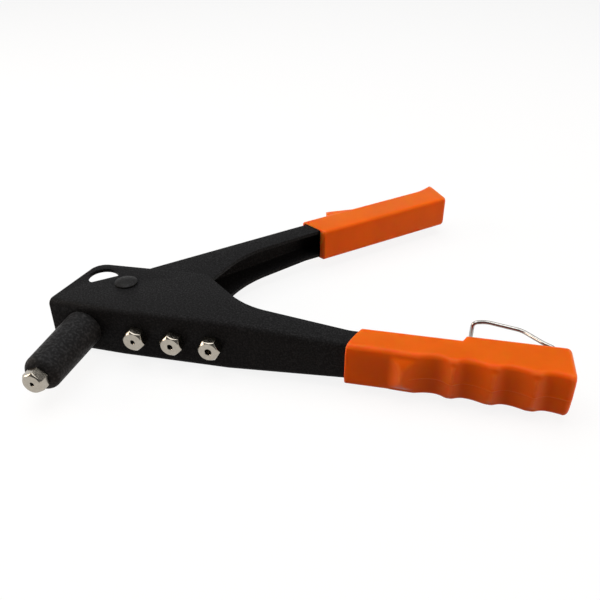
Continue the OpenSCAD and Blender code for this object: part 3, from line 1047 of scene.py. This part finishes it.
@dataclass
class JawTrain(SubAssembly):
    """Sliding jaw case with its split jaws, pusher, jaw spring, tail and pull pin."""

    spring_from: float = 31.5
    spring_to: float = 39.55
    spring_r: float = 2.95
    spring_turns: int = 4
    wire: float = 0.8
    wire_sides: int = 12
    ring_steps: int = 20
    oiled: Sequence[str] = ("jaw_case", "jaw_pusher", "jaw_tail", "pull_pin")
    hardened: Sequence[str] = ("jaw_1", "jaw_2", "jaw_3")

    def jaw_spring(self) -> Piece:
        """Wind the compression spring around the pusher's stem.

        Returns:
            The dressed spring.
        """
        steps = self.spring_turns * self.ring_steps
        path = []
        for i in range(steps + 1):
            turn = math.tau * i / self.ring_steps
            y = self.spring_from + (self.spring_to - self.spring_from) * i / steps
            path.append(Vector((self.spring_r * math.cos(turn), y, -self.spring_r * math.sin(turn))) * MM)
        made = tube("jaw_spring_coil", path, self.wire / 2.0, self.wire_sides)
        return dress_piece(made, SPRING_WIRE, "pusher_spring", Body.JAW_TRAIN)

    def build(self) -> list[Piece]:
        """Dress the turned and the ground pieces and wind the spring."""
        made = [dress_node(n, OILED_STEEL) for n in self.oiled]
        return made + [dress_node(n, HARD_STEEL) for n in self.hardened] + [self.jaw_spring()]


@dataclass
class ReturnSpring(SubAssembly):
    """Torsion spring around the hinge bush, one leg under the lever, one towards the body's web."""

    wire: float = 1.5
    wire_sides: int = 14
    bush_r: float = 5.0
    bush_play: float = 0.45
    turns: int = 4
    turn_gap: float = 0.9
    leg: float = 45.0
    sheet: float = 2.0
    gap: float = 0.3
    rest_along: float = 32.0
    rest_off: float = 1.2
    ring_steps: int = 24

    def path(self) -> list[Vector]:
        """Lay out the wire's centre line.

        Returns:
            Its points in metres, from the lever's leg at the top to the body's leg.
        """
        coil_r = self.bush_r + self.bush_play + self.wire / 2.0
        px, py = LAYOUT.pivot
        off_sheet = self.sheet + self.gap + self.wire / 2.0
        web_side = LAYOUT.lever_rise - off_sheet
        lever_leg = math.radians(LAYOUT.lever_angle) + math.asin((web_side - coil_r) / self.leg)
        seat = LAYOUT.handle.point(self.rest_along, off_sheet + self.rest_off) / MM
        out = math.hypot(seat.x - px, seat.y - py)
        body_leg = math.atan2(seat.y - py, seat.x - px) + math.asin(coil_r / out)
        reach = math.sqrt(out**2 - coil_r**2)
        start = lever_leg + math.pi / 2.0
        total = body_leg - math.pi / 2.0 + math.tau - start + math.tau * self.turns
        top = (self.wire + self.turn_gap) * total / math.tau / 2.0
        steps = math.ceil(total / math.tau * self.ring_steps)

        def coil(turn: float, z: float) -> Vector:
            """Return a point of the coil in millimetres."""
            return Vector((px + coil_r * math.cos(turn), py + coil_r * math.sin(turn), z))

        line = [coil(start + total * i / steps, top - 2.0 * top * i / steps) for i in range(steps + 1)]
        first = line[0] + self.leg * Vector((math.cos(lever_leg), math.sin(lever_leg), 0.0))
        final = line[-1] + reach * Vector((math.cos(body_leg), math.sin(body_leg), 0.0))
        return [p * MM for p in (first, *line, final)]

    def build(self) -> list[Piece]:
        """Wind and dress the spring, with its turns between its two legs.

        Returns:
            The dressed spring.
        """
        path = self.path()
        made = tube("return_spring_coil", path, self.wire / 2.0, self.wire_sides)
        dress_piece(made, SPRING_WIRE, "return_spring")
        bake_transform(made)
        return [made]


# Grips


@dataclass
class Grip(SubAssembly):
    """A moulded sleeve over the end of a channel: outside, mouth and inside."""

    name: str
    node: str
    body: Body
    datum: Datum
    start: float
    length: float
    half: float
    corner: float
    end_round: float
    sleeve_half: float
    sleeve_end: float
    sleeve_corner: float = 1.4
    sleeve_step: float = 36.5
    sleeve_gap: float = 0.1
    mouth_run: float = 14.0
    mouth_round: float = 0.6
    play: float = 0.15
    seam_at: float = 0.0
    seam_from: float = 0.0
    seam_fade: float = 4.0
    seam_height: float = 0.2
    seam_half: float = 0.42
    seam_clear: float = 1.3
    slant_fade: float = 2.4
    crease: float = 38.0
    step: float = 0.8
    flat_steps: int = 8
    corner_steps: int = 7
    face_steps: int = 9
    seam_steps: int = 3
    mouth_steps: int = 4
    end_steps: int = 6

    @property
    def plain(self) -> float:
        """Length up to the rounded end."""
        return self.length - self.end_round

    @property
    def inside(self) -> float:
        """Half height of the front face between its corners."""
        return self.half - self.corner

    @abstractmethod
    def face(self, t: float, share: float) -> float:
        """Return the front face's depth without its seam.

        Args:
            t: Distance from the mouth.
            share: Height as a share of the face's half height, 1 and -1 being its edges.

        Returns:
            The depth in millimetres.
        """

    @abstractmethod
    def rear(self, t: float) -> float:
        """Return the rear face's depth at a distance from the mouth."""

    @abstractmethod
    def shift(self, t: float, depth: float) -> float:
        """Return how far a ring's point is moved along the grip by its slanted ends."""

    @abstractmethod
    def sleeve_rear(self, s: float) -> float:
        """Return the rear of the channel inside the grip at a station along the datum."""

    def cut(self, grip: Piece) -> None:
        """Take away what the grip's own openings need."""

    def seam(self, t: float, height: float) -> float:
        """Return how far the mould seam stands out of the front face at a height."""
        ridge = smooth(1.0 - abs(height - self.seam_at) / self.seam_half)
        return self.seam_height * ridge * smooth((t - self.seam_from) / self.seam_fade)

    def shares(self) -> list[float]:
        """Space the front face's points, close together at the seam.

        Returns:
            Their heights as shares of the face's half height, from 1 to -1.
        """
        n, m = self.seam_steps, self.face_steps
        seam = [(self.seam_at + self.seam_half * k / n) / self.inside for k in range(-n, n + 1)]
        even = [k / m for k in range(-m, m + 1)]
        clear = self.seam_clear * self.seam_half
        return sorted([h for h in even if abs(h * self.inside - self.seam_at) > clear] + seam, reverse=True)

    def outline(self, edge: float, rear: float, half: float, radius: float, face: Outline) -> Outline:
        """Return a cross-section from the rear of the top face round by the front.

        Args:
            edge: Depth of the front's upper and lower edge.
            rear: Depth of the rear face.
            half: Half of the section's height.
            radius: Corner radius.
            face: Points of the front face, as depth and share of its half height from 1 to -1.

        Returns:
            Pairs of depth and height, in millimetres.
        """
        inside = half - radius
        near, far = edge + radius, rear - radius
        quarter = [90.0 * i / self.corner_steps for i in range(1, self.corner_steps)]
        points: Outline = []

        def side(begin: Span, end: Span) -> None:
            """Add the evenly spaced points of a straight side."""
            for t in (i / self.flat_steps for i in range(self.flat_steps + 1)):
                points.append(tuple(a + (b - a) * t for a, b in zip(begin, end)))

        def bend(depth: float, height: float, begin: float) -> None:
            """Add a corner's inner points, a quarter turn from begin degrees."""
            for a in (math.radians(begin + part) for part in quarter):
                points.append((depth + radius * math.cos(a), height + radius * math.sin(a)))

        side((far, half), (near, half))
        bend(near, inside, 90.0)
        points += [(depth, share * inside) for depth, share in face]
        bend(near, -inside, 180.0)
        side((near, -half), (far, -half))
        bend(far, -inside, 270.0)
        side((rear, -inside), (rear, inside))
        bend(far, inside, 0.0)
        return points

    def ring(self, t: float, inset: float, shape_at: float) -> Ring:
        """Return one ring of the outside.

        Args:
            t: Distance from the mouth along the grip.
            inset: How far the ring is pulled in, for rounded ends.
            shape_at: Distance from the mouth whose shape it takes.

        Returns:
            The ring's points in metres.
        """
        at = shape_at
        face = [(self.face(at, h) - self.seam(at, h * self.inside) + inset, h) for h in self.shares()]
        edge, rear = self.face(at, 1.0) + inset, self.rear(at) - inset
        outline = self.outline(edge, rear, self.half - inset, self.corner, face)
        return [self.datum.point(self.start + t + self.shift(at, d), d, h) for d, h in outline]

    def sleeve(self, s: float, mouth: bool = False) -> Ring:
        """Return one ring of the inside, around the channel.

        Args:
            s: Station along the datum.
            mouth: Slant the ring as the mouth is.

        Returns:
            The ring's points in metres.
        """
        rear, half = self.sleeve_rear(s) + self.play, self.sleeve_half + self.play
        face = [(-self.play, h) for h in self.shares()]
        shape = self.outline(-self.play, rear, half, self.sleeve_corner, face)
        return [self.datum.point(s + (self.shift(0.0, d) if mouth else 0.0), d, h) for d, h in shape]

    def stops(self) -> list[float]:
        """Space the outside's rings between the mouth and the rounded end.

        Returns:
            Their stations.
        """
        run = self.plain - self.mouth_round
        count = round(run / self.step)
        return [self.mouth_round + run * i / count for i in range(count + 1)]

    def rings(self) -> list[Ring]:
        """Make all rings.

        Returns:
            The rings from the closed end of the inside out over the mouth to the tip.
        """
        step = self.sleeve_end - self.sleeve_step
        inner = (self.sleeve_end + self.play, step + self.sleeve_gap, step - self.sleeve_gap)
        found = [self.sleeve(s) for s in (*inner, self.start + self.mouth_run)]
        found.append(self.sleeve(self.start, True))
        for i in range(self.mouth_steps):
            a = math.pi / 2.0 * i / self.mouth_steps
            inset = self.mouth_round * (1.0 - math.sin(a))
            found.append(self.ring(self.mouth_round * (1.0 - math.cos(a)), inset, 0.0))
        found += [self.ring(t, 0.0, t) for t in self.stops()]
        for i in range(1, self.end_steps + 1):
            a = math.pi / 2.0 * i / self.end_steps
            inset = self.end_round * (1.0 - math.cos(a))
            found.append(self.ring(self.plain + self.end_round * math.sin(a), inset, self.plain))
        return found

    def build(self) -> list[Piece]:
        """Make and dress the grip.

        Returns:
            The dressed grip.
        """
        made = skin(self.name, self.rings())
        self.cut(made)
        shade(made, self.crease)
        return [dress_piece(made, GRIP_VINYL, self.node, self.body)]


@dataclass
class BodyGrip(Grip):
    """Grip with a plain cuff, a rib and finger grooves, slotted at the rear for the latch."""

    name: str = "body_grip_moulded"
    node: str = "body_grip"
    body: Body = Body.BODY
    datum: Datum = LAYOUT.handle
    start: float = 110.8
    length: float = 100.0
    half: float = 11.3
    corner: float = 2.5
    end_round: float = 2.4
    sleeve_half: float = 10.4
    sleeve_end: float = 207.0
    seam_at: float = -1.2
    seam_from: float = 27.0
    stand_off: float = 2.6
    front_slope: float = 0.035
    arch: float = 4.4
    bulge: float = 0.4
    rib_at: float = 20.6
    rib_rise: float = 0.11
    flank_from: float = 19.4
    first_crest: float = 30.6
    groove_pitch: float = 17.7
    groove_depth: float = 1.9
    groove_rise: float = 5.1
    lows: Sequence[float] = (0.6, 1.38, 2.38, 3.38)
    nose_runs: Sequence[float] = (0.78, 0.475, 0.475, 0.475)
    tail_runs: Sequence[float] = (0.5, 0.775, 0.775, 0.9)
    cuff_blend: float = 0.6
    crest_blend: float = 0.7
    land_blend: float = 0.5
    mouth_slant: float = 0.25
    mouth_curve: float = 0.0095
    channel_depth: float = 11.4
    latch_depth: float = 15.8
    deep_from: float = 170.5
    wall: float = 3.0
    rear_step: float = 3.9
    rear_step_before: float = 7.9
    rear_step_run: float = 2.0
    slot_half: float = 1.4
    slot_play: float = 0.4
    slot_run: Span = (-4.0, 26.0)
    slot_open: float = 20.0
    slot_steps: int = 10

    def edges(self, t: float) -> float:
        """Return the depth of the uncut front's edges, which stand further out behind the rib."""
        return -self.stand_off - self.front_slope * max(0.0, t - self.rib_at)

    def groove(self, t: float, number: int) -> float:
        """Return the depth of one finger groove.

        Args:
            t: Distance from the mouth.
            number: Groove, counted from the nose; the first one starts earlier.

        Returns:
            The depth, steep on the groove's nose side.
        """
        low = self.first_crest + self.groove_pitch * self.lows[number]
        run = (self.nose_runs if t < low else self.tail_runs)[number] * self.groove_pitch
        return self.edges(t) + self.groove_depth - self.groove_rise * ((t - low) / run) ** 2

    def face(self, t: float, share: float) -> float:
        """Return the depth of the arched front, cut by the cuff and the finger grooves.

        Args:
            t: Distance from the mouth.
            share: Height as a share of the face's half height.

        Returns:
            The depth in millimetres.
        """
        crown = 1.0 - share**2
        cuff = -self.stand_off - self.rib_rise * max(0.0, t - self.flank_from) ** 2
        land = round_max(self.edges(t) - self.arch * crown, cuff, self.cuff_blend)
        fingers = self.groove(t, 0)
        for number in range(1, len(self.lows)):
            fingers = round_max(fingers, self.groove(t, number), self.crest_blend)
        return round_max(land, fingers - self.bulge * crown, self.land_blend)

    def rear(self, t: float) -> float:
        """Return the rear face's depth, with a step up to the latch."""
        step_at = self.deep_from - self.rear_step_before - self.start
        return self.channel_depth + self.wall + self.rear_step * smooth((t - step_at) / self.rear_step_run)

    def shift(self, t: float, depth: float) -> float:
        """Return the slant of the mouth, curved towards the rear, fading along the grip."""
        slant = self.mouth_slant * (depth + self.stand_off) + self.mouth_curve * max(0.0, depth) ** 2
        return slant * (1.0 - smooth(t / self.plain * self.slant_fade))

    def sleeve_rear(self, s: float) -> float:
        """Return the rear of the body's channel, deeper where it holds the latch."""
        return self.latch_depth if s > self.deep_from else self.channel_depth

    def cut(self, grip: Piece) -> None:
        """Cut a round-bottomed slot for each leg of the latch wire.

        Args:
            grip: The grip's mesh.
        """
        along, depth = LAYOUT.latch_at
        wide = self.slot_half
        low = depth - LAYOUT.latch_wire / 2.0 - self.slot_play + wide
        top = low + self.slot_open
        arc = [math.pi + math.pi * i / self.slot_steps for i in range(self.slot_steps + 1)]
        for middle in (-LAYOUT.latch_half, LAYOUT.latch_half):
            shape = [(low + wide * math.sin(a), middle + wide * math.cos(a)) for a in arc]
            shape += [(top, middle + wide), (top, middle - wide)]
            ends = [[self.datum.point(along + run, d, z) for d, z in shape] for run in self.slot_run]
            carve(grip, skin("slot_cutter", ends))


@dataclass
class LeverGrip(Grip):
    """Plain grip with a flared lip at its end and a ramp that stops the hand."""

    name: str = "lever_grip_moulded"
    node: str = "lever_grip"
    body: Body = Body.LEVER
    datum: Datum = LAYOUT.lever_tip
    start: float = 7.1
    length: float = 104.0
    half: float = 9.7
    corner: float = 1.9
    end_round: float = 2.5
    sleeve_half: float = 8.8
    sleeve_end: float = 105.0
    channel_depth: float = 13.4
    outer_wall: float = 1.4
    inner_wall: float = 4.1
    lip: float = 13.0
    lip_height: float = 3.0
    lip_curve: float = 1.6
    slant: float = 0.22
    end_slant: float = 0.22
    ramp_at: float = 20.4
    ramp_length: float = 36.0
    ramp_height: float = 9.2
    ramp_front: float = 3.4
    ramp_curve: float = 0.8
    ramp_top: float = 5.0
    ramp_fall: float = 0.317
    ramp_half: float = 7.0
    ramp_edge: float = 0.7
    ramp_sides: int = 5
    side_clear: float = 0.04
    ramp_step: float = 0.25
    ramp_steps: int = 24
    step_clear: float = 0.3

    def outer(self, t: float) -> float:
        """Return the outer face's depth with its flared lip."""
        flare = max(0.0, 1.0 + (t - self.plain) / self.lip) ** self.lip_curve
        return -self.outer_wall - self.lip_height * flare

    def rear(self, t: float) -> float:
        """Return the inner face's depth."""
        return self.channel_depth + self.inner_wall

    def shift(self, t: float, depth: float) -> float:
        """Return the slant of the mouth and of the end.

        Args:
            t: Distance from the mouth.
            depth: Depth of the ring's point.

        Returns:
            How far the point is moved along the grip.
        """
        share = t / self.plain * self.slant_fade
        slant = self.slant * (1.0 - smooth(share)) - self.end_slant * smooth(share - self.slant_fade + 1.0)
        return slant * (depth - self.outer(t))

    def sleeve_rear(self, s: float) -> float:
        """Return the rear of the lever's channel."""
        return self.channel_depth

    def ramp(self, t: float) -> float:
        """Return the ramp's height over the outer face.

        Args:
            t: Distance from the mouth.

        Returns:
            The height in millimetres, with a steep front and a long fall.
        """
        x = t - self.ramp_at
        if x < 0.0 or x > self.ramp_length:
            return 0.0
        rise = self.ramp_height * (x / self.ramp_front) ** self.ramp_curve
        fall = self.ramp_height - self.ramp_fall * max(0.0, x - self.ramp_top)
        return max(0.0, min(rise, fall))

    def face(self, t: float, share: float) -> float:
        """Return the outer face's depth with the ramp on it."""
        height = abs(share) * self.inside
        return self.outer(t) - self.ramp(t) * smooth((self.ramp_half - height) / self.ramp_edge)

    def shares(self) -> list[float]:
        """Space the outer face's points, close together also along the ramp's sides.

        Returns:
            Their heights as shares of the face's half height, from 1 to -1.
        """
        n, gap = self.ramp_sides, self.side_clear
        sides = [(self.ramp_half - self.ramp_edge * k / n) / self.inside for k in range(n + 1)]
        clear = [h for h in super().shares() if not sides[-1] - gap < abs(h) < sides[0] + gap]
        return sorted(clear + sides + [-h for h in sides], reverse=True)

    def stops(self) -> list[float]:
        """Space the outside's rings, closer together at the ramp's steep front.

        Returns:
            Their stations.
        """
        gap = self.step_clear
        close = [self.ramp_at + self.ramp_step * (k - 1) for k in range(self.ramp_steps)]
        coarse = [t for t in super().stops() if not close[0] - gap < t < close[-1] + gap]
        return sorted(coarse + close)


# Latch


@dataclass
class LatchWire(SubAssembly):
    """Bent wire loop that hinges in the end of the body's handle."""

    drawn_to: float = 0.99
    wire_sides: int = 20
    pin_to: float = 10.2
    bend: float = 2.6
    bend_steps: int = 8
    profile: Sequence[Span] = ((-0.1, 9.8), (-4.6, 12.4), (-14.1, 21.2), (-30.6, 25.1), (-36.8, 23.3))

    def corners(self) -> list[Vector]:
        """List the wire's corners.

        Returns:
            Their places in metres, from one hinge end round the loop to the other.
        """
        along, deep = LAYOUT.latch_at
        half = LAYOUT.latch_half
        leg = [(0.0, 0.0, self.pin_to), (0.0, 0.0, half)] + [(x, depth, half) for x, depth in self.profile]
        loop = leg + [(x, depth, -z) for x, depth, z in reversed(leg)]
        return [LAYOUT.handle.point(along + x, deep + depth, z) for x, depth, z in loop]

    def build(self) -> list[Piece]:
        """Bend and dress the wire.

        Returns:
            The dressed wire.
        """
        path = rounded_path(self.corners(), self.bend * MM, self.bend_steps)
        made = tube("latch_loop", path, LAYOUT.latch_wire / 2.0 * self.drawn_to, self.wire_sides)
        return [dress_piece(made, LATCH_NICKEL, "latch_wire", Body.LATCH)]


# Studio


@dataclass(frozen=True)
class Softbox:
    """A square soft light: its place from the tool's middle and its side in metres, watts and colour."""

    name: str
    place: Triple
    size: float
    power: float
    tint: Triple
    in_gloss: bool = True

    def hang(self) -> None:
        """Hang the light so that it points at the tool's middle."""
        light = bpy.data.lights.new(self.name, "AREA")
        light.size = self.size
        light.energy = self.power
        light.color = self.tint
        made = placed(self.name, light)
        made.visible_glossy = self.in_gloss
        made.location = (CAD_BOX[0] + CAD_BOX[1]) / 2.0 + Vector(self.place)
        made.rotation_euler = (-Vector(self.place)).to_track_quat("-Z", "Y").to_euler()


@dataclass
class Studio:
    """Pale floor, soft light and the camera of the photograph."""

    floor_size: float = 12.0
    floor_tone: Triple = (0.38, 0.25, 0.17)
    shadow_share: float = 0.13
    world_light: float = 0.135
    room_dim: float = 0.12
    dim_front: Span = (-0.35, 0.1)
    dim_above: Span = (0.2, 0.5)
    camera_at: Triple = (0.1723, -0.1923, 0.1923)
    camera_turn: float = 14.56
    camera_pitch: float = 32.8
    lens: float = 40.39
    sensor: float = 36.0
    clip: Span = (0.005, 50.0)
    softboxes: Sequence[Softbox] = (
        Softbox("softbox_above", (-0.15, 0.12, 1.0), 1.1, 9.8, WHITE),
        Softbox("softbox_left", (-1.0, -0.25, 0.4), 0.6, 7.5, WARM_FILL),
        Softbox("softbox_right", (1.05, -0.12, 0.35), 0.6, 5.6, WARM_FILL, in_gloss=False),
    )

    @staticmethod
    def seen(graph: NodeGraph, *kinds: str) -> Socket:
        """Tell rays of the given kinds from others.

        Args:
            graph: Graph that gets the nodes.
            *kinds: Kinds of ray, by their names in Blender's light path.

        Returns:
            The socket that is 1 for those rays and 0 for others.
        """
        path = graph.add("ShaderNodeLightPath")
        value = path.outputs[kinds[0]]
        for kind in kinds[1:]:
            value = graph.joined("MAXIMUM", value, path.outputs[kind])
        return value

    def floor_material(self) -> bpy.types.Material:
        """Make the floor's material: white to the eye, warm and dull as a source of bounced light.

        Returns:
            The material.
        """
        made = bpy.data.materials.new("studio_floor")
        graph = NodeGraph(made, "ShaderNodeOutputMaterial")
        seen = self.seen(graph, "Is Camera Ray", "Is Glossy Ray", "Is Transmission Ray")
        lit, glow = graph.add("ShaderNodeBsdfDiffuse"), graph.add("ShaderNodeEmission")
        graph.link(graph.tinted(seen, self.floor_tone, WHITE), lit.inputs["Color"])
        both = graph.add("ShaderNodeMixShader")
        graph.link(graph.between(seen, (0.0, 1.0), (0.0, 1.0 - self.shadow_share)), both.inputs["Fac"])
        graph.link(lit.outputs["BSDF"], both.inputs[1])
        graph.link(glow.outputs["Emission"], both.inputs[2])
        graph.link(both.outputs["Shader"], graph.surface)
        return made

    def floor(self) -> None:
        """Lay the floor under the tool's lowest point."""
        s, height = self.floor_size, CAD_BOX[0].z
        corners = [Vector((x, y, height)) for x, y in ((-s, -s), (s, -s), (s, s), (-s, s))]
        made = mesh_object("floor", corners, [[0, 1, 2, 3]])
        made.data.materials.append(self.floor_material())

    def world(self) -> None:
        """Fill the room with weak even light that looks white, and to gloss is dim overhead and in front."""
        world = bpy.data.worlds.new("studio_room")
        bpy.context.scene.world = world
        graph = NodeGraph(world, "ShaderNodeOutputWorld")
        way = graph.add("ShaderNodeSeparateXYZ")
        graph.link(graph.add("ShaderNodeTexCoord").outputs["Generated"], way.inputs["Vector"])
        back = graph.between(way.outputs["Y"], self.dim_front, (self.room_dim, 1.0))
        low = graph.between(way.outputs["Z"], self.dim_above, (1.0, self.room_dim))
        dimmed = graph.joined("MULTIPLY", back, low)
        gloss = graph.joined("MULTIPLY", self.seen(graph, "Is Glossy Ray"), dimmed)
        plain = self.seen(graph, "Is Camera Ray", "Is Transmission Ray")
        white = graph.between(graph.joined("MAXIMUM", plain, gloss), (0.0, 1.0), (self.world_light, 1.0))
        room = graph.add("ShaderNodeBackground")
        room.inputs["Color"].default_value = (*WHITE, 1.0)
        graph.link(white, room.inputs["Strength"])
        graph.link(room.outputs["Background"], graph.surface)

    def camera(self) -> None:
        """Set up the camera at the photograph's place and angle."""
        view = bpy.data.cameras.new("photo_view")
        view.sensor_width = self.sensor
        view.lens = self.lens
        view.clip_start, view.clip_end = self.clip
        made = placed("photo_view", view)
        turn, pitch = math.radians(self.camera_turn), math.radians(self.camera_pitch)
        made.rotation_euler = (math.pi / 2.0 - pitch, 0.0, turn)
        made.location = self.camera_at
        bpy.context.scene.camera = made

    def build(self) -> None:
        """Set up the view transform, floor, world, lights and camera."""
        bpy.context.scene.view_settings.view_transform = "Standard"
        self.floor()
        self.world()
        for softbox in self.softboxes:
            softbox.hang()
        self.camera()
        LOG.info("studio is set, floor at %.4f m", CAD_BOX[0].z)


def main() -> None:
    """Build all sub-assemblies in order, then the studio."""
    logging.basicConfig(level=logging.INFO, format="%(name)s: %(message)s")
    assemblies: list[SubAssembly] = [
        FoldedBody(),
        FoldedLever(),
        NosepieceSet(),
        JawTrain(),
        ReturnSpring(),
        BodyGrip(),
        LeverGrip(),
        LatchWire(),
    ]
    pieces = [piece for assembly in assemblies for piece in assembly.build()]
    Studio().build()
    LOG.info("%d pieces are dressed", len(pieces))


if __name__ == "__main__":
    main()
